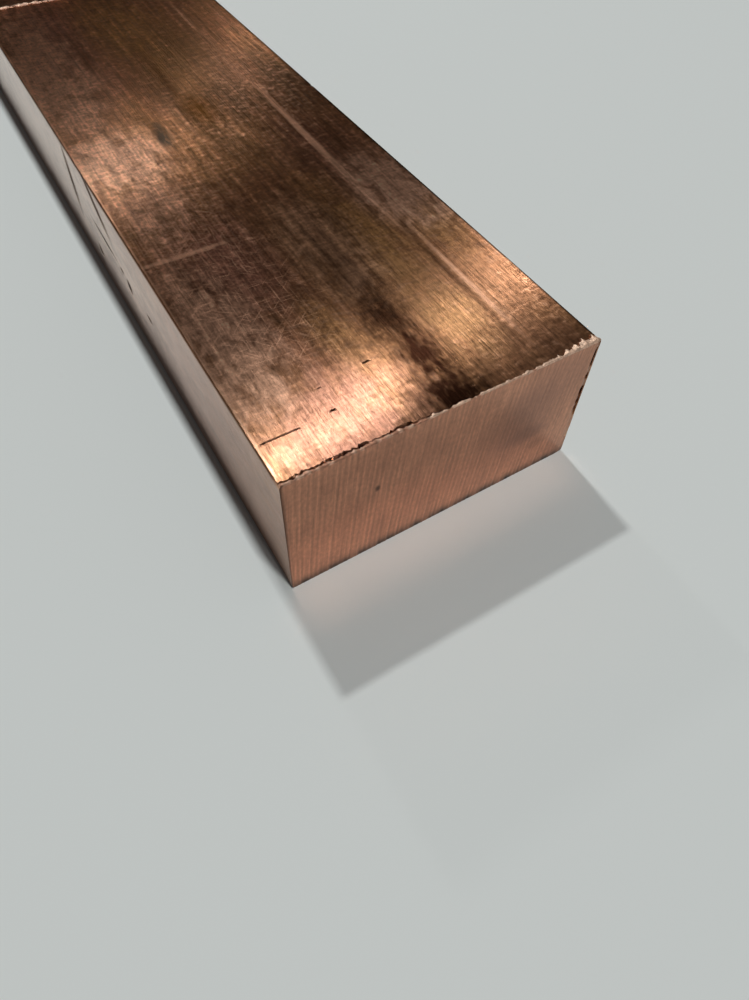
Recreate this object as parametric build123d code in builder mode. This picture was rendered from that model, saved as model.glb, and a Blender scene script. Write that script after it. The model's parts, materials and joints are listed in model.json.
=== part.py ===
from build123d import *
import os

# Copper flat bar: one sawn length of drawn rectangular stock, lying on a wide face.
# The length runs along X, the width along Y, and the floor is at Z zero.

# Drawn section and cut length, in millimetres
bar_length = 304.8
bar_width = 50.8
bar_thickness = 25.4

# Rounding that the die leaves along the four long edges; the sawn edges stay sharp
edge_radius = 0.5

# Saw burr: a lip of metal turned up on the top edge of the +X cut, where the blade came out.
# It runs out to nothing part of the way along the edge and is largest at the +Y corner.
burr_height = 0.4
burr_reach = 1.1
burr_lean = 0.6
burr_length = 22.0

# Places that the sizes give
cut_end_x = bar_length / 2
flat_half_width = bar_width / 2 - edge_radius

# One piece: the section is drawn out to length, its long edges are rounded, and the burr is added
with BuildPart() as flat_bar:
    with BuildSketch(Plane.YZ.offset(-cut_end_x)):
        Rectangle(bar_width, bar_thickness, align=(Align.CENTER, Align.MIN))
    extrude(amount=bar_length)
    long_edges = flat_bar.edges().filter_by(Axis.X)
    fillet(long_edges, radius=edge_radius)

    # The burr's section at the corner: its front leans back from the cut, and its back drops to the face
    with BuildSketch(Plane.XZ.offset(-flat_half_width)) as burr_section:
        with BuildLine():
            Polyline(
                (cut_end_x, bar_thickness),
                (cut_end_x - burr_lean, bar_thickness + burr_height),
                (cut_end_x - burr_reach, bar_thickness),
                close=True,
            )
        make_face()
    burr_run_out = Vertex(cut_end_x, flat_half_width - burr_length, bar_thickness)
    loft(sections=[burr_section.sketch, burr_run_out])

flat_bar.part.label = "flat_bar"

os.makedirs("parts", exist_ok=True)
export_step(flat_bar.part, "parts/flat_bar.step")
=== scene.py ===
"""Copper flat bar: the sawn bar's mesh, its copper finishes, and a plain studio around it."""
import json
import logging
import math
from collections.abc import Mapping
from dataclasses import dataclass, field, replace
from enum import Enum, IntEnum
from typing import Any

import bpy
import numpy as np
from mathutils import Matrix, Vector, noise


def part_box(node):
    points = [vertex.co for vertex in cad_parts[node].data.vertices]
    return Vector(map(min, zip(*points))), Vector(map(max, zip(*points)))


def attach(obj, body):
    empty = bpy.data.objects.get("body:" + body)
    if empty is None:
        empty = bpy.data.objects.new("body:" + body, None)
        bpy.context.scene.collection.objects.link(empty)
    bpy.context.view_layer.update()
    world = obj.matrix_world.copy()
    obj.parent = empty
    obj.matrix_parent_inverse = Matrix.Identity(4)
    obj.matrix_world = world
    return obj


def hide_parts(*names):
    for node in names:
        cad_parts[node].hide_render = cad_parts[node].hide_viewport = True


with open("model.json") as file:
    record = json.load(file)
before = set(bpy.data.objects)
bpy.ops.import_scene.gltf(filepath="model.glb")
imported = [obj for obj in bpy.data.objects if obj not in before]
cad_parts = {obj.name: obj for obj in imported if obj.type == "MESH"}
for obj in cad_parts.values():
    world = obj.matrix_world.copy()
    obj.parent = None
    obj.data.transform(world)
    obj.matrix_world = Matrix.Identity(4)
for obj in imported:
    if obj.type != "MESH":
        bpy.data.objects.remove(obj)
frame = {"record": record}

log = logging.getLogger("copper_flat_bar")

Tree = bpy.types.NodeTree
Socket = bpy.types.NodeSocket

MM = 0.001
NODE = "flat_bar"

# The bar's own map and point values, which the finishes read
GRAIN_UV = "grain"
# The bright share is torn metal and also a painted highlight; the dark share is dirt and also painted shade
# and shadow
BRIGHT = "torn_metal"
DIRT_AND_SHADE = "caught_dirt"
RIDGE = "saw_ridge"

# Places along the bar, in the tables below and in the finishes, are counted from the mark line,
# which lies this far behind the near cut
MARK_LINE_MM = 76.2

# How deep into the bar a mark on one of its faces reaches
MARK_DEPTH_MM = 5.0

# The blade leaned this far to one side, so the ridges of the cut do too
SAW_LEAN_DEG = 5.2

# A random pattern keeps between these two nearly everywhere, about this middle
FIELD_LOW, FIELD_MIDDLE, FIELD_HIGH = 0.3, 0.5, 0.7

# How many rings of points, counted from the near cut, are torn with its top edge
TORN_RINGS = 6

# The lumps of torn metal along the near top edge, left to right: place, half length and reach
TORN_EDGE_MM = (
    (-24.4, 0.8, 0.6), (-22.8, 0.9, 0.45), (-21.4, 0.4, 0.6), (-20.3, 0.4, 0.5), (-18.4, 0.5, 0.45),
    (-15.2, 0.45, 0.6), (-14.1, 0.5, 0.5), (-11.6, 0.45, 0.45), (-10.2, 0.8, 0.45), (-8.5, 0.4, 0.5),
    (-7.0, 0.6, 0.42), (-3.5, 1.1, 0.55), (-1.8, 0.9, 0.34), (0.8, 1.3, 0.46), (3.0, 0.6, 0.36),
    (4.4, 0.7, 0.48), (5.9, 1.2, 0.34), (8.0, 1.4, 0.48), (11.7, 1.2, 0.44), (14.5, 1.3, 0.52),
    (17.0, 1.3, 0.7), (18.9, 1.1, 0.85), (20.7, 0.9, 1.3), (22.3, 0.9, 1.6), (23.9, 1.3, 2.0),
)

# The short dents across the top face: place along and across, length, half width and depth
GOUGES_MM = (
    (69.3, -21.8, 5.6, 0.13, 0.07), (68.8, -14.0, 0.7, 0.18, 0.08), (64.5, -13.8, 0.4, 0.1, 0.05),
    (63.4, -5.9, 1.2, 0.16, 0.07),
)


def linear(hex_colour: str) -> tuple[float, float, float, float]:
    """Turn an sRGB hex colour into the linear colour that a shader takes.

    Args:
        hex_colour: Six hex digits, with or without a leading hash.

    Returns:
        Linear red, green and blue, and an alpha of one.
    """
    digits = hex_colour.lstrip("#")
    shares = [int(digits[at:at + 2], 16) / 255 for at in (0, 2, 4)]
    red, green, blue = (s / 12.92 if s <= 0.04045 else ((s + 0.055) / 1.055) ** 2.4 for s in shares)
    return red, green, blue, 1.0


def add_node(
    tree: Tree,
    kind: str,
    inputs: Mapping[int | str, Any] | None = None,
    **settings: Any,
) -> bpy.types.Node:
    """Add one node with its settings, and fill or link its inputs.

    Args:
        tree: The node tree that takes the node.
        kind: Blender's name for the node.
        inputs: For each input's name or number, a socket to link or a plain value.
        **settings: Properties of the node itself.

    Returns:
        The new node.
    """
    node = tree.nodes.new(kind)
    for name, value in settings.items():
        setattr(node, name, value)
    for key, value in (inputs or {}).items():
        if isinstance(value, Socket):
            tree.links.new(value, node.inputs[key])
        else:
            node.inputs[key].default_value = value
    return node


def new_material(name: str) -> bpy.types.Material:
    """Make a node material with no nodes in it yet.

    Args:
        name: The material's name.

    Returns:
        The empty material.
    """
    material = bpy.data.materials.new(name)
    material.use_nodes = True
    material.node_tree.nodes.clear()
    return material


def millimetres(tree: Tree, start_mm: float) -> Socket:
    """Give the place on the bar in millimetres, from its own object coordinates.

    Args:
        tree: The node tree that takes the nodes.
        start_mm: Where along the bar the places are counted from.

    Returns:
        The place, along the bar from that line, across it and up.
    """
    place = add_node(tree, "ShaderNodeTexCoord").outputs["Object"]
    return add_node(
        tree,
        "ShaderNodeVectorMath",
        {0: place, 1: (1 / MM,) * 3, 2: (-start_mm, 0.0, 0.0)},
        operation="MULTIPLY_ADD",
    ).outputs[0]


def largest(tree: Tree, values: list[Socket]) -> Socket | float:
    """Take the largest of several values at each place.

    Args:
        tree: The node tree that takes the nodes.
        values: The values.

    Returns:
        The largest, or zero where there are none.
    """
    most: Socket | float = values[0] if values else 0.0
    for value in values[1:]:
        most = add_node(tree, "ShaderNodeMath", {0: most, 1: value}, operation="MAXIMUM").outputs[0]
    return most


def laid_over(tree: Tree, colour: Any, layers: list[tuple[Socket | float, str]]) -> Any:
    """Lay colours over one another, each as far as its mask says.

    Args:
        tree: The node tree that takes the nodes.
        colour: The colour underneath.
        layers: A mask and an sRGB hex colour for each layer, lowest first.

    Returns:
        The colour on top.
    """
    for amount, tint in layers:
        colour = add_node(
            tree, "ShaderNodeMix", {0: amount, 6: colour, 7: linear(tint)}, data_type="RGBA"
        ).outputs[2]
    return colour


def shaded(tree: Tree, colour: Any, shades: list[tuple[Socket, float, float]]) -> Any:
    """Darken and lighten a colour by random patterns.

    Args:
        tree: The node tree that takes the nodes.
        colour: The colour to shade.
        shades: A pattern, and the factors at its low and at its high end.

    Returns:
        The shaded colour.
    """
    for value, dark, light in shades:
        shade = add_node(
            tree, "ShaderNodeMapRange",
            {"Value": value, "From Min": FIELD_LOW, "From Max": FIELD_HIGH, "To Min": dark, "To Max": light},
        ).outputs[0]
        colour = add_node(
            tree, "ShaderNodeVectorMath", {0: colour, "Scale": shade}, operation="SCALE"
        ).outputs[0]
    return colour


def relief(tree: Tree, value: Socket, height_mm: float) -> Socket:
    """Raise a pattern off the surface for the light to catch.

    Args:
        tree: The node tree that takes the nodes.
        value: The pattern.
        height_mm: The height that its whole range stands for.

    Returns:
        The normal of the raised surface.
    """
    height = add_node(tree, "ShaderNodeMath", {0: value, 1: height_mm}, operation="MULTIPLY").outputs[0]
    return add_node(
        tree, "ShaderNodeBump", {"Strength": 1.0, "Distance": MM, "Height": height}
    ).outputs[0]


def read(items: Any, name: str, width: int = 1, kind: type = float) -> np.ndarray:
    """Read one value of every item of a mesh.

    Args:
        items: The mesh's points, edges, faces or corners.
        name: The value's name.
        width: How many numbers the value has.
        kind: What kind of number they are.

    Returns:
        One row of numbers for each item, or one number where the value has only one.
    """
    values = np.empty(len(items) * width, kind)
    items.foreach_get(name, values)
    return values.reshape(-1, width) if width > 1 else values


def closed(material: bpy.types.Material, inputs: Mapping[str, Any]) -> bpy.types.Material:
    """Close a material with its one shader.

    Args:
        material: The material, with all the nodes that lead up to the shader.
        inputs: What the shader is fed.

    Returns:
        The same material.
    """
    shader = add_node(material.node_tree, "ShaderNodeBsdfPrincipled", inputs).outputs[0]
    add_node(material.node_tree, "ShaderNodeOutputMaterial", {"Surface": shader})
    return material


@dataclass(frozen=True)
class Pattern:
    """One soft random pattern with blobs of a real size.

    The size is a blob's length, width and height in millimetres. A start tells patterns of one size apart,
    detail adds finer octaves, and swirl pulls the blobs out of shape.
    """

    size_mm: tuple[float, float, float]
    start: float = 0.0
    detail: float = 2.0
    swirl: float = 0.0
    turn_deg: tuple[float, float, float] = (0.0, 0.0, 0.0)
    harshness: float = 0.55

    def draw(self, tree: Tree, place: Socket) -> Socket:
        """Draw the pattern.

        Args:
            tree: The node tree that takes the nodes.
            place: The place in millimetres.

        Returns:
            A value about one half, from zero to one.
        """
        turned = add_node(
            tree,
            "ShaderNodeMapping",
            {
                "Vector": place,
                "Location": (self.start,) * 3,
                "Rotation": tuple(math.radians(angle) for angle in self.turn_deg),
                "Scale": self.size_mm,
            },
            vector_type="TEXTURE",
        ).outputs[0]
        return add_node(
            tree,
            "ShaderNodeTexNoise",
            {"Vector": turned, "Scale": 1.0, "Detail": self.detail, "Roughness": self.harshness,
             "Distortion": self.swirl},
        ).outputs[0]


class Skin(Enum):
    """The random patterns in the skin of a drawn face."""

    # The die's hair lines are finer than a pixel: no single one shows, and together they spread each lamp
    # into a band across the bar
    HAIR = Pattern((9.0, 0.016, 0.016), 0.0, 3.0)
    FINE = Pattern((14.0, 0.34, 0.34), 11.0, 3.0)
    STREAK = Pattern((20.0, 1.1, 1.1), 22.0, 3.0)
    PATCH = Pattern((30.0, 14.0, 14.0), 33.0, 3.0)
    # The grain and the scuffs are drawn coarser than real ones, which would be too fine to show
    GRAIN = Pattern((1.0, 0.5, 0.5), 44.0, 3.0)
    SCUFF = Pattern((0.45, 2.4, 2.4), 55.0, 3.0)
    BLOT = Pattern((2.6, 1.1, 1.1), 66.0, 3.0)
    MOTTLE = Pattern((4.4, 2.6, 2.6), 47.0, 5.0, 0.8)
    CRINKLE = Pattern((0.9, 1.7, 1.7), 61.0, 4.0, 0.6)


class MarkKind(Enum):
    """What a single mark on the bar is."""

    PALE = "a scrape down to fresh metal"
    DARK = "a rubbed smudge"
    GREY = "a grey stain"
    SCRATCHED = "a patch of fine scratches"
    SCUFFED = "a patch rubbed matt"
    GOLDEN = "a patch of thin golden tarnish"
    MAUVE = "a patch of older tarnish gone mauve"
    BROWN = "a patch of thick brown tarnish"
    CLEAN = "a patch of thin tarnish, almost bare"
    LINED = "a patch worn down to the die's lines"


class Finish(IntEnum):
    """The bar's finishes, by their place in its list of materials."""

    WIDE = 0
    NARROW = 1
    SAWN = 2
    TORN = 3


@dataclass(frozen=True)
class Mark:
    """One mark on a face, as a soft ellipse broken up by a random pattern.

    Sizes and places are in millimetres, counted along the bar from the mark line. The rim is where the
    broken ellipse begins and where it is at full strength.
    """

    kind: MarkKind
    centre: tuple[float, float, float]
    radii: tuple[float, float, float]
    strength: float = 1.0
    turn_deg: tuple[float, float, float] = (0.0, 0.0, 0.0)
    rim: tuple[float, float] = (0.04, 0.45)

    def mask(self, tree: Tree, place: Socket, breakup: Socket) -> Socket:
        """Make the mark's strength at each place.

        Args:
            tree: The node tree that takes the nodes.
            place: The place in millimetres.
            breakup: A pattern that eats holes into the mark.

        Returns:
            A value from zero, off the mark, to its strength.
        """
        local = add_node(
            tree,
            "ShaderNodeMapping",
            {
                "Vector": place,
                "Location": self.centre,
                "Rotation": tuple(math.radians(angle) for angle in self.turn_deg),
                "Scale": self.radii,
            },
            vector_type="TEXTURE",
        ).outputs[0]
        near = add_node(
            tree, "ShaderNodeTexGradient", {"Vector": local}, gradient_type="SPHERICAL"
        ).outputs[1]
        eaten = add_node(tree, "ShaderNodeMath", {0: near, 1: breakup}, operation="MULTIPLY").outputs[0]
        begins, full = self.rim
        return add_node(
            tree,
            "ShaderNodeMapRange",
            {"Value": eaten, "From Min": begins, "From Max": full, "To Max": self.strength},
            interpolation_type="SMOOTHSTEP",
        ).outputs[0]


@dataclass(frozen=True)
class DrawnCopper:
    """Copper as it comes off the draw bench and has lain about: brown, streaked along its length.

    The die leaves fine lines along the bar, so a lamp smears into a band across it, and air has turned the
    pink metal brown in cloudy patches.
    """

    name: str = "drawn_copper_tarnished"
    start_mm: float = 0.0
    marks: tuple[Mark, ...] = field(default_factory=tuple)

    # The tarnish, thin to thick, the bare metal under it, and the dirt and painted shade over it
    brown: str = "#AE7554"
    golden: str = "#C48B5A"
    mauve: str = "#B87B68"
    thick: str = "#6B4A36"
    thin: str = "#EBAF8F"
    pink: str = "#C69078"
    fresh: str = "#E9B090"
    soot: str = "#27140C"
    dirt_and_shade: str = "#24140C"
    grey: str = "#473C34"
    edge_tint: str = "#FFDCCB"

    # How the surface spreads the light: smooth along the lines, spread out across them
    roughness: float = 0.29
    scuffed_roughness: float = 0.38
    scraped_roughness: float = 0.62
    smudge_roughness: float = 0.29
    smudge_metallic: float = 1.0
    anisotropy: float = 1.0

    # The slope that the whole range of each pattern tilts the surface by
    hair_tilt: float = 7.0
    fine_tilt: float = 0.26
    crinkle_tilt: float = 0.072

    # How much darker and lighter each pattern makes the colour; the crinkles also tilt the surface, so their
    # shade is partly painted light and shade on their slopes
    shades: tuple[tuple[Skin, float, float], ...] = (
        (Skin.FINE, 0.78, 1.17), (Skin.STREAK, 0.66, 1.25), (Skin.MOTTLE, 0.72, 1.24),
        (Skin.CRINKLE, 0.74, 1.2), (Skin.GRAIN, 0.7, 1.26), (Skin.SCUFF, 0.8, 1.16),
    )

    # How much wear it takes to smooth each pattern away
    smoothed: tuple[tuple[Skin, float], ...] = (
        (Skin.MOTTLE, 1.0), (Skin.CRINKLE, 1.0), (Skin.STREAK, 1.0), (Skin.FINE, 1.6),
    )

    # Where golden and pink begin and are full in the tarnish, and how far they cover it
    golden_patch: tuple[float, float, float] = (0.42, 0.62, 0.4)
    pink_streak: tuple[float, float, float] = (0.5, 0.72, 0.35)

    # Where the crests of the crinkles begin and are full, and how far they are painted pale: the crests are
    # the slopes that the crinkles tilt one way, so this is a painted highlight
    crest: tuple[float, float] = (0.52, 0.72)
    crest_painted_highlight: float = 0.38

    # How the blots and the mottle break up smudges and thin tarnish: from this range to that one
    rubbed: tuple[float, float, float, float] = (0.25, 0.75, 0.36, 0.64)
    patchy: tuple[float, float, float, float] = (0.35, 0.65, 0.3, 0.95)

    # Short hair-thin dashes: their size and shift, directions, where they begin and are full, and strength
    dash: Pattern = Pattern((4.2, 0.24, 40.0), 13.0, 0.0, 0.25)
    dash_shift: float = 5.0
    dash_turns_deg: tuple[float, ...] = (1.0, -3.0, 40.0, 54.0, 86.0, -48.0)
    dash_crest: tuple[float, float] = (0.69, 0.79)
    dash_strength: float = 0.7

    def build(self) -> bpy.types.Material:
        """Make the material.

        Returns:
            The material, for faces whose grain map is laid.
        """
        material = new_material(self.name)
        tree = material.node_tree
        place = millimetres(tree, self.start_mm)
        skin = {part: part.value.draw(tree, place) for part in Skin}
        masks = self._masks(tree, place, skin)
        for part, wear in self.smoothed:
            skin[part] = add_node(
                tree, "ShaderNodeMapRange",
                {
                    "Value": masks[MarkKind.LINED],
                    "From Max": wear,
                    "To Min": skin[part],
                    "To Max": FIELD_MIDDLE,
                },
            ).outputs[0]
        scratch = add_node(
            tree, "ShaderNodeMath", {0: self._scratches(tree, place), 1: masks[MarkKind.SCRATCHED]},
            operation="MULTIPLY",
        ).outputs[0]
        dirt_and_shade, bright = (
            add_node(tree, "ShaderNodeAttribute", attribute_name=name).outputs["Fac"]
            for name in (DIRT_AND_SHADE, BRIGHT)
        )
        colour = laid_over(tree, self._tarnish(tree, skin, masks), [
            (scratch, self.fresh),
            (masks[MarkKind.PALE], self.fresh),
            (masks[MarkKind.DARK], self.soot),
            (masks[MarkKind.GREY], self.grey),
            # The dark share: dirt, and painted shade and shadow along the edges, in the crevice and at the
            # feet
            (dirt_and_shade, self.dirt_and_shade),
            (bright, self.fresh),
        ])
        # The edge tint is darkened by the same dirt and painted shade
        edge_tint = laid_over(
            tree, linear(self.edge_tint), [(masks[MarkKind.DARK], self.soot), (dirt_and_shade, self.dirt_and_shade)]
        )
        metallic: Socket | float = 1.0
        if self.smudge_metallic < 1:
            metallic = add_node(
                tree, "ShaderNodeMapRange",
                {"Value": masks[MarkKind.DARK], "To Min": 1.0, "To Max": self.smudge_metallic},
            ).outputs[0]
        across = add_node(tree, "ShaderNodeTangent", direction_type="UV_MAP", uv_map=GRAIN_UV).outputs[0]
        return closed(material, {
            "Base Color": colour,
            "Metallic": metallic,
            "Roughness": self._roughness(tree, masks, scratch),
            "Normal": self._tilted(tree, across, skin),
            "Specular Tint": edge_tint,
            "Anisotropic": self.anisotropy,
            "Tangent": across,
        })

    def _masks(
        self, tree: Tree, place: Socket, skin: Mapping[Skin, Socket]
    ) -> dict[MarkKind, Socket | float]:
        """Gather the single marks by what they are.

        Args:
            tree: The node tree that takes the nodes.
            place: The place in millimetres.
            skin: The patterns, which break the marks up.

        Returns:
            For each kind of mark, its strength at each place.
        """
        rubbed, patchy = (
            add_node(
                tree, "ShaderNodeMapRange",
                {"Value": skin[part], "From Min": low, "From Max": high, "To Min": least, "To Max": most},
            ).outputs[0]
            for part, (low, high, least, most) in ((Skin.BLOT, self.rubbed), (Skin.MOTTLE, self.patchy))
        )
        breaks = {
            MarkKind.DARK: rubbed,
            MarkKind.GREY: skin[Skin.BLOT],
            MarkKind.PALE: skin[Skin.STREAK],
            MarkKind.CLEAN: patchy,
        }
        masks = {}
        for kind in MarkKind:
            breakup = breaks.get(kind, skin[Skin.MOTTLE])
            alike = [mark for mark in self.marks if mark.kind is kind]
            masks[kind] = largest(tree, [mark.mask(tree, place, breakup) for mark in alike])
        return masks

    def _tarnish(
        self, tree: Tree, skin: Mapping[Skin, Socket], masks: Mapping[MarkKind, Socket | float]
    ) -> Socket:
        """Mix the tarnish: golden and pink in brown along the lines, then its patches, then its shading.

        Args:
            tree: The node tree that takes the nodes.
            skin: The patterns, smoothed where the face is worn.
            masks: The strength of each kind of mark.

        Returns:
            The colour before any scratch, smudge or dirt.
        """
        layers = []
        for part, (begins, full, most), tint in (
            (Skin.PATCH, self.golden_patch, self.golden), (Skin.STREAK, self.pink_streak, self.pink)
        ):
            amount = add_node(
                tree, "ShaderNodeMapRange",
                {"Value": skin[part], "From Min": begins, "From Max": full, "To Max": most},
                interpolation_type="SMOOTHSTEP",
            ).outputs[0]
            layers.append((amount, tint))
        # The crinkles' crests, the slopes that they tilt one way, are painted pale: a painted highlight
        begins, full = self.crest
        crest = add_node(
            tree, "ShaderNodeMapRange",
            {"Value": skin[Skin.CRINKLE], "From Min": begins, "From Max": full, "To Max": self.crest_painted_highlight},
        ).outputs[0]
        layers += [
            (masks[MarkKind.MAUVE], self.mauve),
            (masks[MarkKind.GOLDEN], self.golden),
            (masks[MarkKind.BROWN], self.thick),
            (masks[MarkKind.CLEAN], self.thin),
            (crest, self.fresh),
        ]
        colour = laid_over(tree, linear(self.brown), layers)
        return shaded(tree, colour, [(skin[part], dark, light) for part, dark, light in self.shades])

    def _roughness(
        self, tree: Tree, masks: Mapping[MarkKind, Socket | float], scratch: Socket
    ) -> Socket | float:
        """Roughen the face where it is smudged, scuffed, scratched or scraped.

        Args:
            tree: The node tree that takes the nodes.
            masks: The strength of each kind of mark.
            scratch: The strength of the fine scratches.

        Returns:
            The roughness.
        """
        roughness: Socket | float = self.roughness
        for mask, most in (
            (masks[MarkKind.DARK], self.smudge_roughness),
            (masks[MarkKind.SCUFFED], self.scuffed_roughness),
            (scratch, self.scraped_roughness),
            (masks[MarkKind.PALE], self.scraped_roughness),
        ):
            roughness = add_node(
                tree, "ShaderNodeMapRange", {"Value": mask, "To Min": roughness, "To Max": most}
            ).outputs[0]
        return roughness

    def _tilted(self, tree: Tree, across: Socket, skin: Mapping[Skin, Socket]) -> Socket:
        """Tilt the surface from place to place, as the die's lines and the crinkles of the skin do.

        Args:
            tree: The node tree that takes the nodes.
            across: The direction across the lines.
            skin: The patterns, smoothed where the face is worn.

        Returns:
            The tilted normal.
        """
        normal = add_node(tree, "ShaderNodeNewGeometry").outputs["Normal"]
        along = add_node(
            tree, "ShaderNodeVectorMath", {0: normal, 1: across}, operation="CROSS_PRODUCT"
        ).outputs[0]
        for towards, part, slope in (
            (along, Skin.CRINKLE, self.crinkle_tilt),
            (across, Skin.HAIR, self.hair_tilt),
            (across, Skin.FINE, self.fine_tilt),
        ):
            tilt = add_node(
                tree, "ShaderNodeMapRange",
                {"Value": skin[part], "To Min": -slope / 2, "To Max": slope / 2}, clamp=False,
            ).outputs[0]
            lean = add_node(
                tree, "ShaderNodeVectorMath", {0: towards, "Scale": tilt}, operation="SCALE"
            ).outputs[0]
            normal = add_node(
                tree, "ShaderNodeVectorMath", {0: normal, 1: lean}, operation="ADD"
            ).outputs[0]
        return add_node(tree, "ShaderNodeVectorMath", {0: normal}, operation="NORMALIZE").outputs[0]

    def _scratches(self, tree: Tree, place: Socket) -> Socket:
        """Draw short fine scratches in a few directions, on the crests of stretched patterns.

        Args:
            tree: The node tree that takes the nodes.
            place: The place in millimetres.

        Returns:
            A value that is high on a scratch and zero elsewhere.
        """
        begins, full = self.dash_crest
        lines = []
        for at, turn in enumerate(self.dash_turns_deg):
            start = self.dash.start + self.dash_shift * at
            dashes = replace(self.dash, start=start, turn_deg=(0.0, 0.0, turn)).draw(tree, place)
            lines.append(add_node(
                tree, "ShaderNodeMapRange",
                {"Value": dashes, "From Min": begins, "From Max": full, "To Max": self.dash_strength},
            ).outputs[0])
        return largest(tree, lines)


@dataclass(frozen=True)
class SawnCopper:
    """Copper fresh from a band saw: salmon pink, with ridges where each tooth passed.

    The cut is bare metal, so it is pinker than the drawn faces, and its ridges catch the light as stripes.
    """

    name: str = "sawn_copper_bare"
    start_mm: float = 0.0
    marks: tuple[Mark, ...] = field(default_factory=tuple)

    # Crests of the ridges painted lighter and the grooves darker, painted light and shade with dirt in the
    # grooves, and what has settled on the cut
    pink: str = "#DCA081"
    brown: str = "#BC866A"
    soot: str = "#170D08"
    mauve: str = "#7C5A4E"
    roughness: float = 0.32
    anisotropy: float = 0.9

    # Scrapes up the cut, clouds of tarnish and a grain drawn coarser than the real one, which wouldn't show
    scrape: Pattern = Pattern((4.0, 0.34, 9.0), detail=3.0, turn_deg=(-SAW_LEAN_DEG, 0.0, 0.0))
    cloud: Pattern = Pattern((12.0, 6.0, 7.0), 5.0, 5.0)
    grain: Pattern = Pattern((0.8, 0.5, 0.8), 9.0)
    scrape_shade: tuple[float, float] = (0.82, 1.14)
    cloud_shade: tuple[float, float] = (0.84, 1.1)
    grain_shade: tuple[float, float] = (0.86, 1.12)
    scrape_height_mm: float = 0.012

    def build(self) -> bpy.types.Material:
        """Make the material.

        Returns:
            The material, for cut faces whose grain map is laid.
        """
        material = new_material(self.name)
        tree = material.node_tree
        place = millimetres(tree, self.start_mm)
        scrape, cloud, grain = (
            pattern.draw(tree, place) for pattern in (self.scrape, self.cloud, self.grain)
        )
        dirt_and_shade, ridge = (
            add_node(tree, "ShaderNodeAttribute", attribute_name=name).outputs["Fac"]
            for name in (DIRT_AND_SHADE, RIDGE)
        )
        # The colour follows the ridges' height, pink on crests and brown in grooves: painted light and shade,
        # with dirt in the grooves
        stripe = add_node(
            tree, "ShaderNodeMapRange", {"Value": ridge, "From Min": -1.0, "From Max": 1.0}
        ).outputs[0]
        colour = laid_over(tree, linear(self.brown), [(stripe, self.pink)])
        colour = shaded(tree, colour, [
            (scrape, *self.scrape_shade), (cloud, *self.cloud_shade), (grain, *self.grain_shade)
        ])
        tints = {MarkKind.DARK: self.soot, MarkKind.MAUVE: self.mauve}
        layers = [(mark.mask(tree, place, cloud), tints[mark.kind]) for mark in self.marks]
        # Darkened by dirt, and by the painted contact shadow along the cut's foot
        colour = laid_over(tree, colour, [*layers, (dirt_and_shade, self.soot)])
        tangent = add_node(tree, "ShaderNodeTangent", direction_type="UV_MAP", uv_map=GRAIN_UV).outputs[0]
        return closed(material, {
            "Base Color": colour,
            "Metallic": 1.0,
            "Roughness": self.roughness,
            "Normal": relief(tree, scrape, self.scrape_height_mm),
            "Anisotropic": self.anisotropy,
            "Tangent": tangent,
        })


@dataclass(frozen=True)
class TornCopper:
    """Copper torn out by the saw's teeth: pale fresh crumbs, rough on every side.

    Its facets lie every way, so it catches the lamps from wherever it is seen and stands out as a bright
    line. It is only part metallic, which stands in for the light that fine crumbs pass on to one another.
    """

    name: str = "torn_copper_burr"
    start_mm: float = 0.0
    pale: str = "#FFCEB0"
    pink: str = "#C98A6C"
    soot: str = "#3A2014"
    metallic: float = 0.38
    roughness: float = 0.45
    bare: tuple[float, float] = (0.6, 0.85)
    crumb: Pattern = Pattern((0.4, 0.4, 0.4), 7.0, 3.0)
    hollow: Pattern = Pattern((0.7, 0.7, 0.7), 15.0)
    # The crumbs are darker where their relief is low and in random hollows: painted shade between the crumbs
    crumb_painted_shade: tuple[float, float] = (0.75, 1.1)
    hollow_painted_shade: tuple[float, float] = (0.6, 1.15)
    crumb_height_mm: float = 0.12

    def build(self) -> bpy.types.Material:
        """Make the material.

        Returns:
            The material, for the torn edges of the cuts.
        """
        material = new_material(self.name)
        tree = material.node_tree
        place = millimetres(tree, self.start_mm)
        crumb, hollow = (pattern.draw(tree, place) for pattern in (self.crumb, self.hollow))
        dirt_and_shade, bright = (
            add_node(tree, "ShaderNodeAttribute", attribute_name=name).outputs["Fac"]
            for name in (DIRT_AND_SHADE, BRIGHT)
        )
        begins, full = self.bare
        amount = add_node(
            tree, "ShaderNodeMapRange", {"Value": bright, "From Min": begins, "From Max": full}
        ).outputs[0]
        colour = laid_over(tree, linear(self.pink), [(amount, self.pale)])
        # Painted shade between the crumbs
        colour = shaded(tree, colour, [(hollow, *self.hollow_painted_shade), (crumb, *self.crumb_painted_shade)])
        return closed(material, {
            # Darkened by dirt, and by painted shade where the torn metal meets the crevice
            "Base Color": laid_over(tree, colour, [(dirt_and_shade, self.soot)]),
            "Metallic": self.metallic,
            "Roughness": self.roughness,
            "Normal": relief(tree, crumb, self.crumb_height_mm),
        })


@dataclass(frozen=True)
class PaleFloor:
    """Matt pale sheet: an even, faintly warm white with hardly any gloss."""

    name: str = "matt_pale_sheet"
    colour: str = "#EFEAE6"
    roughness: float = 0.9
    gloss: float = 0.2

    def build(self) -> bpy.types.Material:
        """Make the material.

        Returns:
            The material, for the floor.
        """
        return closed(new_material(self.name), {
            "Base Color": linear(self.colour),
            "Roughness": self.roughness,
            "Specular IOR Level": self.gloss,
        })


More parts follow.
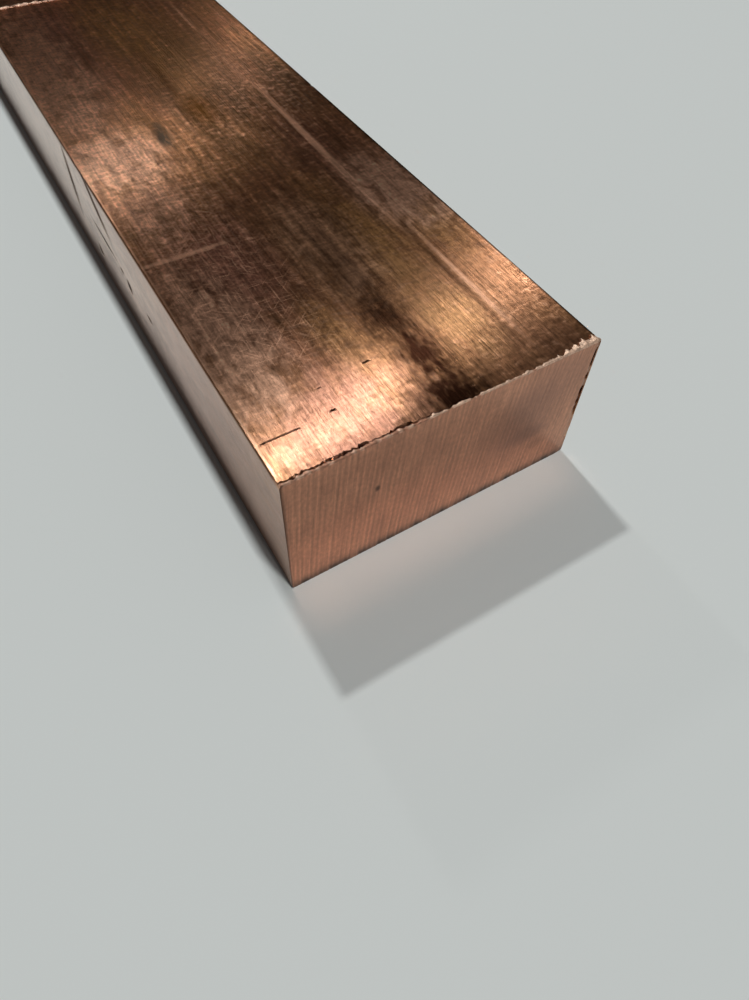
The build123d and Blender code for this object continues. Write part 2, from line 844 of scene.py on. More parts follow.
@dataclass
class Block:
    """The bar's points while they are worn, and where each one is in the grid that they came from.

    Each point also has a share of torn metal and painted highlight, a share of dirt and painted shade, and a
    height on its saw ridge.
    """

    points: np.ndarray
    station: np.ndarray
    column: np.ndarray
    row: np.ndarray
    x: np.ndarray = field(init=False)
    y: np.ndarray = field(init=False)
    z: np.ndarray = field(init=False)
    bright: np.ndarray = field(init=False)
    dirt_and_shade: np.ndarray = field(init=False)
    ridge: np.ndarray = field(init=False)
    top: np.ndarray = field(init=False)
    last_station: int = field(init=False)
    last_column: int = field(init=False)
    last_row: int = field(init=False)

    def __post_init__(self) -> None:
        """Start with no torn metal, highlight, dirt, shade or ridges.

        The three columns of the points are given names of their own, and the grid's far sides are found.
        """
        self.x, self.y, self.z = self.points.T
        self.bright, self.dirt_and_shade, self.ridge = np.zeros((3, len(self.points)))
        self.last_station, self.last_column = int(self.station.max()), int(self.column.max())
        self.last_row = int(self.row.max())
        self.top = self.row == self.last_row

    def darken(self, which: np.ndarray, share: float | np.ndarray) -> None:
        """Raise the darkening, from dirt and from painted shade, at some points to a share, where it is
        lower.
        """
        self.dirt_and_shade[which] = np.maximum(self.dirt_and_shade[which], share)


@dataclass(frozen=True)
class Gouge:
    """One short dent across the top face, in millimetres, counted along the bar from the mark line."""

    x: float
    y: float
    length: float
    width: float
    depth: float


@dataclass(frozen=True)
class Crumb:
    """One lump of torn metal on the near top edge, in millimetres: its place, half length and reach."""

    y: float
    half_length: float
    reach: float


@dataclass(frozen=True)
class TornEdge:
    """The torn top edge of the near cut: a crevice behind a ledge on the left, a turned-up lip on the right.

    Sizes are in millimetres, and places are counted across the bar from its middle.
    """

    crumbs: tuple[Crumb, ...]
    height: float = 0.5
    crevice_width: float = 0.5
    crevice_depth: float = 0.34

    # Where the left part, the right part, the bare metal and the crevice begin, and how far each takes to
    # come in full
    left: tuple[float, float] = (-4.0, 4.0)
    right: tuple[float, float] = (11.0, 6.0)
    bare: tuple[float, float] = (-4.0, 3.0)
    crevice: tuple[float, float] = (-2.0, 5.0)

    # The crevice is broken off where a random share is under this, comes in over that, and never quite ends
    crevice_breaks: tuple[float, float, float] = (0.32, 0.3, 0.15)

    # The lip's reach everywhere, more on the left and more on the right
    reaches: tuple[float, float, float] = (0.3, 0.2, 0.3)

    # Where a crumb's crest lies along its half length, and how blunt its outline is
    crest: float = 0.4
    bluntness: float = 0.4

    # A lip is no steeper than this, and the ledge in front of the crevice stands lower by this share
    steepness: float = 0.45
    ledge_drop: float = 0.6

    def shares(
        self, across_mm: np.ndarray, ragged: np.ndarray
    ) -> tuple[np.ndarray, np.ndarray, np.ndarray]:
        """Say how far back the torn metal reaches along the edge, and where it is torn bare.

        Args:
            across_mm: The places along the edge.
            ragged: A random share at each place that roughens the edge.

        Returns:
            The reach back from the cut in millimetres, a share of pale bare metal, and a share of the burr's
            height, at each place.
        """
        left = np.clip((self.left[0] - across_mm) / self.left[1], 0, 1)
        right = np.clip((across_mm - self.right[0]) / self.right[1], 0, 1)
        everywhere, more_left, more_right = self.reaches
        reach = everywhere + more_left * left + more_right * right
        # More bare metal shows where the edge is ragged and to the right
        bare = np.clip((across_mm - self.bare[0]) / self.bare[1], 0, 1)
        torn = bare * (0.2 + 0.5 * ragged + 0.25 * right)
        tooth = 0.3 + 0.2 * ragged
        # Each crumb rises steeply on its right side and slowly on its left one, and is paler at its crest
        for crumb in self.crumbs:
            away = (across_mm - crumb.y) / crumb.half_length - self.crest
            near = np.clip(1 - np.where(away < 0, -away / (1 + self.crest), away / (1 - self.crest)), 0, 1)
            reach = np.maximum(reach, crumb.reach * near ** self.bluntness)
            tooth = np.maximum(tooth, near * (0.85 + 0.15 * ragged))
            torn = np.maximum(torn, np.clip(2 * near, 0, 1) * (0.6 + 0.4 * ragged) * (1 - 0.5 * left))
        return reach * (0.45 + 0.95 * ragged), torn, tooth

    def opened(self, across_mm: np.ndarray, broken: np.ndarray) -> np.ndarray:
        """Say how far open the crevice is along the edge.

        Args:
            across_mm: The places along the edge.
            broken: A random share at each place that breaks the crevice up.

        Returns:
            A share from zero, closed, to one.
        """
        under, over, least = self.crevice_breaks
        left = np.clip((self.crevice[0] - across_mm) / self.crevice[1], 0, 1)
        return left * np.clip((broken - under) / over, least, 1)

    def profile(
        self, lip: np.ndarray, tooth: np.ndarray, opened: np.ndarray
    ) -> tuple[tuple[np.ndarray, np.ndarray], ...]:
        """Give the edge's section: the face of the lip, its crest, the crevice and the top face behind it.

        Args:
            lip: How far back the torn metal reaches at each place, in metres.
            tooth: The share of the burr's height at each place.
            opened: How far open the crevice is at each place.

        Returns:
            For each torn ring, how far back from the cut and how far up its points lie, in metres.
        """
        gap = self.crevice_width * MM * opened
        lift = np.minimum(self.steepness * lip, self.height * MM * tooth) * (1 - self.ledge_drop * opened)
        level = np.zeros(len(lip))
        # Each ring is placed by shares of the lip's reach, of its lift and of the crevice's gap
        return (
            (-0.08 * lip, -0.06 * MM * (1 + 2 * opened)),
            (0.15 * lip, lift),
            (0.8 * lip, 0.85 * lift - 0.06 * MM * opened),
            (lip + 0.35 * gap, -self.crevice_depth * MM * opened),
            (lip + gap + 0.04 * MM, level),
            (lip + gap + 0.16 * MM, level),
        )


@dataclass
class SawnBar:
    """The bar itself: its section gridded at the cut, drawn out along its length, then worn.

    Sizes are in metres unless their names say millimetres, and stations count from the near cut to the far
    one.
    """

    length: float
    width: float
    thickness: float
    mark_line: float
    torn_edge: TornEdge
    gouges: tuple[Gouge, ...] = field(default_factory=tuple)
    nick_mm: float = -10.5
    edge_radius: float = 0.5 * MM
    smooth_deg: float = 35.0

    # The grid: columns across each saw ridge, rows up the walls and round each edge, and rings of points
    # along the bar, closer together where the photograph shows it and near each cut and dent
    columns_per_ridge: int = 4
    wall_rows: int = 36
    edge_rows: int = 3
    station_pitch: float = 2.7 * MM
    seen_length: float = 168.0 * MM
    plain_pitch: float = 9.0 * MM
    station_clear: float = 0.45
    station_least: float = 0.02 * MM
    near_rings_mm: tuple[float, ...] = (0.0, 0.1, 0.2, 0.3, 0.4, 0.5, 2.3, 3.2)
    far_rings_mm: tuple[float, ...] = (0.0, 0.1, 0.2, 0.3, 0.8, 1.8)
    gouge_rings: tuple[float, ...] = (-1.4, -1.0, -0.5, 0.0, 0.5, 1.0, 1.4)
    nick_rings_mm: tuple[float, ...] = (-0.6, -0.25, 0.0, 0.25, 0.6)
    score_rings_mm: tuple[float, ...] = (-1.1, -0.7, -0.35, 0.0, 0.35, 0.7, 1.1)

    # The saw's ridges, which are clearer low down and to the left
    saw_pitch: float = 0.83 * MM
    saw_depth: float = 0.016 * MM
    saw_strength: tuple[float, float] = (0.55, 1.3)
    saw_clear: tuple[float, float, float] = (0.25, 0.55, 0.35)
    saw_other: float = 0.5
    saw_waver: float = 0.6
    saw_waver_step: float = 0.9
    saw_waver_length: float = 4 * MM

    # The die's lines and the waves of the two wide faces
    line_depth: float = 0.0022 * MM
    wave_depth: float = 0.01 * MM
    wave_size: tuple[float, float] = (34 * MM, 15 * MM)
    wave_margin: float = 2 * MM

    # The dents: how blunt a gouge's ends are, and the nick's half length, reach and depth
    gouge_ends: float = 4.0
    gouge_dirt: float = 0.9
    nick_half_mm: float = 0.6
    nick_reach: float = 0.9 * MM
    nick_depth: float = 0.28 * MM
    nick_dirt: float = 0.6

    # Painted shade along the long edges, line by line: under the top edges, in from the right one, and a
    # painted contact shadow up from the foot
    edge_painted_shade: tuple[float, ...] = (0.1, 0.6, 0.75, 0.3)
    right_edge_painted_shade: tuple[float, ...] = (1.0, 1.0, 1.0, 0.9, 0.6, 0.25)
    foot_painted_shadow: tuple[float, ...] = (0.8, 0.8, 0.5, 0.2)
    # The left-hand top edge is this bright: a painted highlight
    left_edge_painted_highlight: float = 0.8

    # The rim of the near cut: chips in from its right edge, dirt in from its left one, and a painted contact
    # shadow up from its foot
    chip_depth: float = 0.3 * MM
    chip_shares: tuple[float, ...] = (1.0, 1.0, 1.0, 0.8, 0.35)
    chip_aside: float = 0.4
    rim_dirt: tuple[float, ...] = (0.8, 0.5)
    rim_foot_painted_shadow: tuple[float, ...] = (0.5, 0.15)
    rim_foot_shadow_scale: float = 1.6 * MM

    # The far cut's lip, ring by ring, and the line of crumbs across the top: its crests in millimetres
    # from its middle, with their shares of its height
    far_lip: float = 0.3 * MM
    far_shares: tuple[float, ...] = (0.0, 0.6, 1.0)
    score_x: float = -76.2 * MM
    score_height: float = 0.34 * MM
    score_crests: tuple[tuple[float, float], ...] = ((-0.35, 0.6), (0.0, 1.0), (0.35, 0.7))

    # A face is the cut's own when it lies this near it, and torn when its points are this bright
    cut_depth: float = 0.06 * MM
    torn_share: float = 0.42

    def build(self) -> bpy.types.Object:
        """Model the bar.

        Returns:
            The finished object, at the origin, with its place in its mesh.
        """
        bar = self._cut_face()
        self._draw_out()
        bpy.ops.object.mode_set(mode="OBJECT")
        self._shape(bar)
        self._lay_grain(bar)
        bpy.ops.object.shade_smooth_by_angle(angle=math.radians(self.smooth_deg))
        return bar

    @property
    def columns(self) -> int:
        """How many columns of faces the cut has across its width."""
        return round(self.width / self.saw_pitch) * self.columns_per_ridge

    @property
    def rows(self) -> int:
        """How many rows of faces the cut has up its height."""
        return self.wall_rows + 2 * self.edge_rows

    def stations(self) -> np.ndarray:
        """List how far each ring of points lies from the near cut, closer together where something shows.

        Returns:
            Distances from the near cut to the far one, in metres, in order.
        """
        zero = self.length / 2 - self.mark_line
        spots = {near * MM for near in self.near_rings_mm}
        spots |= {self.length - far * MM for far in self.far_rings_mm}
        for gouge in self.gouges:
            middle = zero - gouge.x * MM
            spots |= {middle + share * gouge.width * MM for share in self.gouge_rings}
        middle = zero - self.nick_mm * MM
        spots |= {middle + step * MM for step in self.nick_rings_mm}
        middle = zero - self.score_x
        spots |= {middle + step * MM for step in self.score_rings_mm}
        clear = self.station_clear * self.station_pitch
        even = np.concatenate([
            np.arange(2 * self.station_pitch, self.seen_length, self.station_pitch),
            np.arange(self.seen_length, self.length - self.station_pitch, self.plain_pitch),
        ])
        spots |= {step for step in even if min(abs(step - spot) for spot in spots) > clear}
        ordered = np.array(sorted(spots))
        return ordered[np.concatenate([[True], np.diff(ordered) > self.station_least])]

    def _cut_face(self) -> bpy.types.Object:
        """Add the near cut as a standing grid, one column to each flank of a saw ridge.

        Returns:
            The new object, in edit mode.
        """
        bpy.ops.object.select_all(action="DESELECT")
        bpy.ops.mesh.primitive_grid_add(
            x_subdivisions=self.columns,
            y_subdivisions=self.rows,
            size=1.0,
            calc_uvs=False,
            location=(self.length / 2, 0.0, self.thickness / 2),
            rotation=(math.pi / 2, 0.0, math.pi / 2),
        )
        bar = bpy.context.active_object
        bar.scale = (self.width, self.thickness, 1.0)
        bpy.ops.object.transform_apply(location=True, rotation=True, scale=True)
        bar.name = "sawn_copper_bar"
        bar.data.name = "sawn_copper_bar"
        bpy.ops.object.mode_set(mode="EDIT")
        return bar

    def _draw_out(self) -> None:
        """Extrude the cut to the bar's length and ring it at each station.

        The rings are evenly spaced at first, and each is moved to its station when the bar is shaped.
        """
        bpy.ops.mesh.select_all(action="SELECT")
        bpy.ops.mesh.extrude_region_move(TRANSFORM_OT_translate={"value": (-self.length, 0.0, 0.0)})
        bpy.ops.mesh.select_all(action="SELECT")
        bpy.ops.mesh.normals_make_consistent(inside=False)
        bpy.ops.mesh.select_mode(type="EDGE")
        bpy.ops.object.mode_set(mode="OBJECT")
        mesh = bpy.context.active_object.data
        ends = read(mesh.vertices, "co", 3)[read(mesh.edges, "vertices", 2, int)]
        along = np.abs(np.diff(ends, axis=1)[:, 0, 0])
        mesh.vertices.foreach_set("select", np.zeros(len(mesh.vertices), bool))
        mesh.polygons.foreach_set("select", np.zeros(len(mesh.polygons), bool))
        mesh.edges.foreach_set("select", along > self.length / 2)
        bpy.ops.object.mode_set(mode="EDIT")
        bpy.ops.mesh.subdivide_edgering(
            number_cuts=len(self.stations()) - 2, interpolation="LINEAR", smoothness=0.0
        )

    def _shape(self, bar: bpy.types.Object) -> None:
        """Move every point of the gridded block to its place on the worn bar.

        Args:
            bar: The bar in object mode, as an even block.
        """
        mesh = bar.data
        block = self._rounded(read(mesh.vertices, "co", 3))
        for wear in (
            self._saw_ridges, self._drawn_lines, self._dents, self._edge_lines, self._near_edge,
            self._cut_rim, self._far_edge, self._score,
        ):
            wear(block)
        mesh.vertices.foreach_set("co", block.points.ravel())
        for name, values in ((BRIGHT, block.bright), (DIRT_AND_SHADE, block.dirt_and_shade), (RIDGE, block.ridge)):
            attribute = mesh.attributes.new(name, "FLOAT", "POINT")
            attribute.data.foreach_set("value", values.astype(np.float32))
        mesh.update()

    def _rounded(self, points: np.ndarray) -> Block:
        """Set the even block's points at their stations, lean its columns and round its long edges.

        Args:
            points: The points of the even block.

        Returns:
            The points of the rounded bar, not yet worn.
        """
        stations = self.stations()
        half_length, half_width, half_height = self.length / 2, self.width / 2, self.thickness / 2
        station = np.rint((half_length - points[:, 0]) / self.length * (len(stations) - 1)).astype(int)
        column = np.rint((points[:, 1] + half_width) / self.width * self.columns).astype(int)
        row = np.rint(points[:, 2] / self.thickness * self.rows).astype(int)
        edge = np.linspace(0.0, self.edge_radius, self.edge_rows + 1)
        wall = np.linspace(self.edge_radius, self.thickness - self.edge_radius, self.wall_rows + 1)
        heights = np.concatenate([edge[:-1], wall, self.thickness - edge[-2::-1]])
        x = half_length - stations[station]
        y = points[:, 1].copy()
        z = heights[row]
        # The columns lean with the saw's ridges, all but those next to the two walls
        lean = (z - half_height) * math.tan(math.radians(SAW_LEAN_DEG))
        y += lean * (1 - np.abs(y / half_width) ** 10)
        over_y = np.maximum(np.abs(y) - (half_width - self.edge_radius), 0.0)
        over_z = np.maximum(np.abs(z - half_height) - (half_height - self.edge_radius), 0.0)
        corner = (over_y > 0) & (over_z > 0)
        reach = np.hypot(over_y, over_z)
        shrink = np.where(corner, np.maximum(over_y, over_z) / np.where(reach > 0, reach, 1.0), 1.0)
        y -= np.sign(y) * over_y * (1 - shrink)
        z -= np.sign(z - half_height) * over_z * (1 - shrink)
        return Block(np.stack([x, y, z], axis=1), station, column, row)

    def _saw_ridges(self, block: Block) -> None:
        """Raise the ridges that the saw's teeth left on both cuts, every other one stronger low down.

        Args:
            block: The bar's points, which are worn.
        """
        random = np.random.default_rng(11)
        per_ridge = self.columns_per_ridge
        everywhere, more_low, more_left = self.saw_clear
        for cut, outward in ((block.station == 0, 1.0), (block.station == block.last_station, -1.0)):
            strength = random.uniform(*self.saw_strength, block.last_column // per_ridge + 2)
            which = np.flatnonzero(cut)
            ridge = block.column[which] // per_ridge
            swing = np.sin(2 * np.pi * block.column[which] / per_ridge)
            low = 1 - np.clip(block.z[which] / self.thickness, 0, 1)
            left = 0.5 - block.y[which] / self.width
            clear = everywhere + more_low * low + more_left * left
            every_other = clear * np.where(ridge % 2 == 0, 1 + self.saw_other * low, 1 - self.saw_other * low)
            waver = np.array([
                noise.noise(Vector((index * self.saw_waver_step, up / self.saw_waver_length, outward)))
                for index, up in zip(ridge, block.z[which])
            ])
            block.ridge[which] = strength[ridge] * every_other * swing * (1 + self.saw_waver * waver)
            block.x[which] += outward * self.saw_depth * block.ridge[which]

    def _drawn_lines(self, block: Block) -> None:
        """Give the two wide faces the die's fine lines and a very slight waviness.

        Args:
            block: The bar's points, which are worn.
        """
        random = np.random.default_rng(23)
        wave_long, wave_wide = self.wave_size
        for face, outward in ((block.top, 1.0), (block.row == 0, -1.0)):
            groove = random.normal(0.0, self.line_depth, block.last_column + 1)
            which = np.flatnonzero(face)
            wave = np.array([
                noise.noise(Vector(((x - self.mark_line) / wave_long, y / wave_wide, outward)))
                for x, y in block.points[which, :2]
            ])
            flat = np.clip((self.width / 2 - np.abs(block.y[which])) / self.wave_margin, 0, 1)
            block.z[which] += outward * flat * (groove[block.column[which]] - self.wave_depth * (1 + wave))

    def _dents(self, block: Block) -> None:
        """Press the gouges into the top face and the nick into its right-hand edge.

        Args:
            block: The bar's points, which are worn.
        """
        place = (block.x - self.mark_line) / MM
        for gouge in self.gouges:
            across = 1 - np.abs(place - gouge.x) / gouge.width
            along = 1 - np.abs(block.y / MM - gouge.y) / (gouge.length / 2)
            dent = np.clip(across, 0, 1) * np.clip(self.gouge_ends * along, 0, 1)
            pressed = np.where(block.top, dent, 0.0)
            block.z -= pressed * gouge.depth * MM
            block.darken(np.s_[:], self.gouge_dirt * pressed)
        along = np.clip(1 - np.abs(place - self.nick_mm) / self.nick_half_mm, 0, 1)
        edge = np.hypot(block.y - self.width / 2, block.z - self.thickness)
        pressed = along * np.clip(1 - edge / self.nick_reach, 0, 1)
        block.points[:, 1:] -= (pressed * self.nick_depth)[:, None]
        block.darken(np.s_[:], self.nick_dirt * pressed)

    def _edge_lines(self, block: Block) -> None:
        """Paint shade along the long top edges and a contact shadow along the left wall's foot, and paint a
        highlight along the left-hand top edge.

        Args:
            block: The bar's points, which are worn.
        """
        behind = block.station >= TORN_RINGS
        left, right = block.column == 0, block.column == block.last_column
        # Painted shade on the rounding under both long top edges
        for below, darkness in enumerate(self.edge_painted_shade):
            block.darken((left | right) & (block.row == block.last_row - below) & behind, darkness)
        # Painted shade in from the right-hand top edge
        for inwards, darkness in enumerate(self.right_edge_painted_shade):
            block.darken((block.column == block.last_column - inwards) & block.top & behind, darkness)
        # A painted contact shadow up from the left wall's foot
        for up, darkness in enumerate(self.foot_painted_shadow):
            block.darken(left & (block.row == up) & (block.station > 0), darkness)
        # A painted highlight along the left-hand top edge
        block.bright[(block.column == 1) & block.top & behind] = self.left_edge_painted_highlight

    def _near_edge(self, block: Block) -> None:
        """Tear the top edge of the near cut.

        Args:
            block: The bar's points, which are worn.
        """
        random = np.random.default_rng(5)
        rings = []
        for at in range(TORN_RINGS):
            ring = np.flatnonzero((block.station == at) & block.top)
            rings.append(ring[np.argsort(block.column[ring])])
        crevice, level = rings[3], rings[4]
        across_mm = block.y[level] / MM
        edge_z = block.z[level].copy()
        ragged = random.uniform(0.0, 1.0, len(across_mm))
        ragged = np.convolve(np.pad(ragged, 1, mode="edge"), (0.15, 0.7, 0.15), mode="valid")
        reach_mm, torn, tooth = self.torn_edge.shares(across_mm, ragged)
        broken = random.uniform(0.0, 1.0, len(across_mm))
        broken = np.convolve(np.pad(broken, 3, mode="edge"), np.ones(7) / 7, mode="valid")
        opened = self.torn_edge.opened(across_mm, broken)
        profile = self.torn_edge.profile(reach_mm * MM, tooth, opened)
        for ring, (back, up) in zip(rings, profile):
            block.x[ring] = self.length / 2 - back
            block.z[ring] = edge_z + up
        # Torn metal shows on the lip's three rings, but not where it hardly reaches back at all
        for ring in rings[:3]:
            block.bright[ring] = np.clip((reach_mm - 0.12) / 0.1, 0, 1) * (0.56 + 0.44 * torn)
        # The crevice, and a little of the top face behind it, are darkened: painted shade
        block.darken(crevice, 0.85 * opened)
        block.darken(level, 0.3 * opened)

    def _cut_rim(self, block: Block) -> None:
        """Chip the right-hand edge of the near cut, let dirt gather in the chips and along its left edge, and
        paint a contact shadow along its foot.

        Args:
            block: The bar's points, which are worn.
        """
        cut = block.station == 0
        # The chips come and go up the edge, and are small near the foot and just under the top
        for inwards, share in enumerate(self.chip_shares):
            for at in np.flatnonzero(cut & (block.column == block.last_column - inwards)):
                height = block.z[at] / MM
                over_foot = np.clip((height - 8.0) / 5.0, 0.2, 1)
                under_top = np.clip((25.0 - height) / 2.0, 0.4, 1)
                spots = noise.noise(Vector((0.3, 3.4, height / 1.1)))
                chip = float(np.clip(0.9 + 2.2 * spots, 0.4, 1)) * float(over_foot * under_top) * share
                block.x[at] -= self.chip_depth * chip
                block.y[at] -= self.chip_aside * self.chip_depth * chip
                block.darken(at, chip)
        for inwards, share in enumerate(self.rim_dirt):
            block.darken(cut & (block.column == inwards), share)
        # A painted contact shadow along the cut's foot, full on the rounded edge, fading above it, in soft
        # blots
        for at in np.flatnonzero(cut & (block.row <= self.edge_rows + len(self.rim_foot_painted_shadow))):
            above = int(block.row[at]) - self.edge_rows
            soft = self.rim_foot_painted_shadow[above - 1] if above > 0 else 1.0
            darkness = 0.7 + 0.5 * noise.noise(Vector((7.0, block.y[at] / self.rim_foot_shadow_scale, 0.0)))
            block.darken(at, soft * darkness)

    def _far_edge(self, block: Block) -> None:
        """Turn up a thin broken lip along the top edge of the far cut.

        Args:
            block: The bar's points, which are worn.
        """
        random = np.random.default_rng(17)
        ragged = random.uniform(0.2, 1.0, block.last_column + 1)
        for back, share in enumerate(self.far_shares):
            which = np.flatnonzero(block.top & (block.station == block.last_station - back))
            block.z[which] += share * self.far_lip * ragged[block.column[which]]
            block.bright[which] = 1.0

    def _score(self, block: Block) -> None:
        """Throw up a broken row of torn crumbs right across the top face, where a blade was once set down.

        Args:
            block: The bar's points, which are worn.
        """
        random = np.random.default_rng(29)
        shares = random.uniform(0.0, 1.0, (len(self.score_crests), block.last_column + 1))
        # Crumbs stand where the random share is over the gaps', which are wider towards the right
        away = (block.x - self.mark_line - self.score_x) / MM
        for (step, share), line in zip(self.score_crests, shares):
            ragged = np.convolve(np.pad(line, 2, mode="edge"), np.ones(5) / 5, mode="valid")
            which = np.flatnonzero(block.top & (np.abs(away - step) < self.station_least / MM))
            gaps = 0.36 + 0.1 * np.clip((block.y[which] / MM + 8.0) / 20.0, 0, 1)
            raised = np.clip((ragged[block.column[which]] - gaps) / 0.3, 0, 1)
            block.z[which] += share * self.score_height * raised
            block.bright[which] = np.clip(2.5 * raised, 0, 1)

    def _lay_grain(self, bar: bpy.types.Object) -> None:
        """Lay a map whose first axis runs across the drawn lines, and choose each face's finish.

        Gloss spreads along the map's first axis: across the drawn faces, and from ridge to ridge on the cuts.

        Args:
            bar: The shaped bar.
        """
        mesh = bar.data
        normals = np.abs(read(mesh.polygons, "normal", 3))
        corners = read(mesh.loops, "vertex_index", kind=int)
        sizes = read(mesh.polygons, "loop_total", kind=int)
        middles = np.abs(read(mesh.polygons, "center", 3))
        at_cut = np.abs(middles[:, 0] - self.length / 2) < self.cut_depth
        cut = at_cut & (normals[:, 0] > 0.5)
        wall = normals[:, 1] > normals[:, 2]
        at = read(mesh.vertices, "co", 3)[corners]
        first = np.where(np.repeat(wall & ~cut, sizes), at[:, 2], at[:, 1])
        second = np.where(np.repeat(cut, sizes), at[:, 2], at[:, 0])
        layer = mesh.uv_layers.new(name=GRAIN_UV)
        layer.data.foreach_set("uv", np.stack([first, second], axis=1).astype(np.float32).ravel())
        bright = read(mesh.attributes[BRIGHT].data, "value", kind=np.float32)
        starts = np.concatenate([[0], np.cumsum(sizes)[:-1]])
        torn = np.add.reduceat(bright[corners], starts) / sizes > self.torn_share
        finish = np.where(wall, Finish.NARROW, Finish.WIDE)
        finish = np.where(cut, Finish.SAWN, finish)
        finish = np.where(torn, Finish.TORN, finish)
        mesh.polygons.foreach_set("material_index", finish.astype(np.int32))

    def dress(
        self,
        bar: bpy.types.Object,
        wide: DrawnCopper,
        narrow: DrawnCopper,
        sawn: SawnCopper,
        torn: TornCopper,
    ) -> None:
        """Give the drawn faces, the two cuts and their torn edges their finishes.

        Args:
            bar: The shaped bar.
            wide: The finish of the two wide faces.
            narrow: The finish of the two narrow faces.
            sawn: The finish of the cuts.
            torn: The finish of the torn edges.
        """
        finishes = {Finish.WIDE: wide, Finish.NARROW: narrow, Finish.SAWN: sawn, Finish.TORN: torn}
        for finish in Finish:
            bar.data.materials.append(finishes[finish].build())


@dataclass
class Studio:
    """A pale floor, a row of strip lamps overhead, a dim room and the camera.

    Sizes are in metres, and places along the bar are counted from the mark line.
    """

    mark_line: float
    floor_size: float = 4.0

    # The lamps hang in one row along the bar, each with its own place, length and power
    lamp_height: float = 1.7
    lamp_aside: float = 0.085
    lamp_width: float = 0.105
    lamp_places: tuple[float, ...] = (2.3, 0.58, -1.08, -2.74)
    lamp_lengths: tuple[float, ...] = (0.075, 0.075, 0.075, 0.34)
    lamp_watts: tuple[float, ...] = (8.0, 9.8, 15.0, 7.8)
    lamp_colour: str = "#F1FDFF"

    # The room, and how high up the ceiling begins and how far to the viewer's side it darkens
    walls: str = "#424343"
    ceiling: str = "#656666"
    viewer: str = "#363636"
    ceiling_rise: tuple[float, float] = (0.15, 0.6)
    viewer_side: tuple[float, float] = (0.15, -0.35)

    # The camera, with its focal length as a share of its sensor's width
    eye: tuple[float, float, float] = (0.12187, -0.04228, 0.09407)
    turn_deg: float = 56.298
    dip_deg: float = 51.543
    roll_deg: float = 2.906
    sensor_mm: float = 36.0
    focal_share: float = 0.712146
    shift: tuple[float, float] = (-0.00346, -0.0553)
    nearest: float = 0.005

    def build(self) -> None:
        """Make the floor, the lamps, the room and the camera.

        All of it is staging, so none of it belongs to the part.
        """
        self._floor()
        for index, lamp in enumerate(zip(self.lamp_places, self.lamp_lengths, self.lamp_watts)):
            self._lamp(f"lamp_{index}", *lamp)
        self._room()
        self._camera()

    def _floor(self) -> None:
        """Lay the floor at the bar's foot.

        It is wide enough to run out of the picture on every side.
        """
        bpy.ops.object.select_all(action="DESELECT")
        bpy.ops.mesh.primitive_plane_add(size=self.floor_size)
        floor = bpy.context.active_object
        floor.name = "pale_floor"
        floor.data.materials.append(PaleFloor().build())

    def _lamp(self, name: str, place: float, length: float, watts: float) -> None:
        """Hang one lamp of a row that runs along the bar's length.

        Args:
            name: The lamp's name.
            place: How far along the bar's axis it hangs.
            length: Its length along that axis.
            watts: Its power.
        """
        data = bpy.data.lights.new(name, "AREA")
        data.shape = "RECTANGLE"
        data.size, data.size_y = length, self.lamp_width
        data.energy = watts
        data.color = linear(self.lamp_colour)[:3]
        lamp = bpy.data.objects.new(data.name, data)
        lamp.location = (self.mark_line + place, self.lamp_aside, self.lamp_height)
        bpy.context.scene.collection.objects.link(lamp)

    def _room(self) -> None:
        """Fill the room with a dim light.

        The walls are darker than the ceiling, and the viewer's side is the darkest.
        """
        world = bpy.data.worlds.new("dim_room")
        world.use_nodes = True
        tree = world.node_tree
        tree.nodes.clear()
        towards = add_node(tree, "ShaderNodeTexCoord").outputs["Generated"]
        _, aside, height = add_node(tree, "ShaderNodeSeparateXYZ", {0: towards}).outputs
        layers = []
        for value, (begins, full), tint in (
            (height, self.ceiling_rise, self.ceiling), (aside, self.viewer_side, self.viewer)
        ):
            share = add_node(
                tree, "ShaderNodeMapRange", {"Value": value, "From Min": begins, "From Max": full},
                interpolation_type="SMOOTHSTEP",
            ).outputs[0]
            layers.append((share, tint))
        colour = laid_over(tree, linear(self.walls), layers)
        shade = add_node(tree, "ShaderNodeBackground", {"Color": colour}).outputs[0]
        add_node(tree, "ShaderNodeOutputWorld", {"Surface": shade})
        bpy.context.scene.world = world

    def _camera(self) -> None:
        """Set the camera at the photograph's place and angle.

        It looks along its heading, down by its dip, and leans to one side by its roll.
        """
        data = bpy.data.cameras.new("camera")
        data.sensor_width = self.sensor_mm
        data.lens = self.focal_share * data.sensor_width
        data.shift_x, data.shift_y = self.shift
        data.clip_start = self.nearest
        camera = bpy.data.objects.new("camera", data)
        turn, dip, roll = (math.radians(angle) for angle in (self.turn_deg, self.dip_deg, self.roll_deg))
        forward = Vector((-math.sin(turn) * math.cos(dip), math.cos(turn) * math.cos(dip), -math.sin(dip)))
        right = forward.cross(Vector((0.0, 0.0, 1.0))).normalized()
        up = right.cross(forward)
        leaned = right * math.cos(roll) + up * math.sin(roll)
        axes = Matrix((leaned, leaned.cross(forward), -forward)).transposed()
        place = Vector(self.eye) + Vector((self.mark_line, 0.0, 0.0))
        camera.matrix_world = Matrix.Translation(place) @ axes.to_4x4()
        bpy.context.scene.collection.objects.link(camera)
        bpy.context.scene.camera = camera


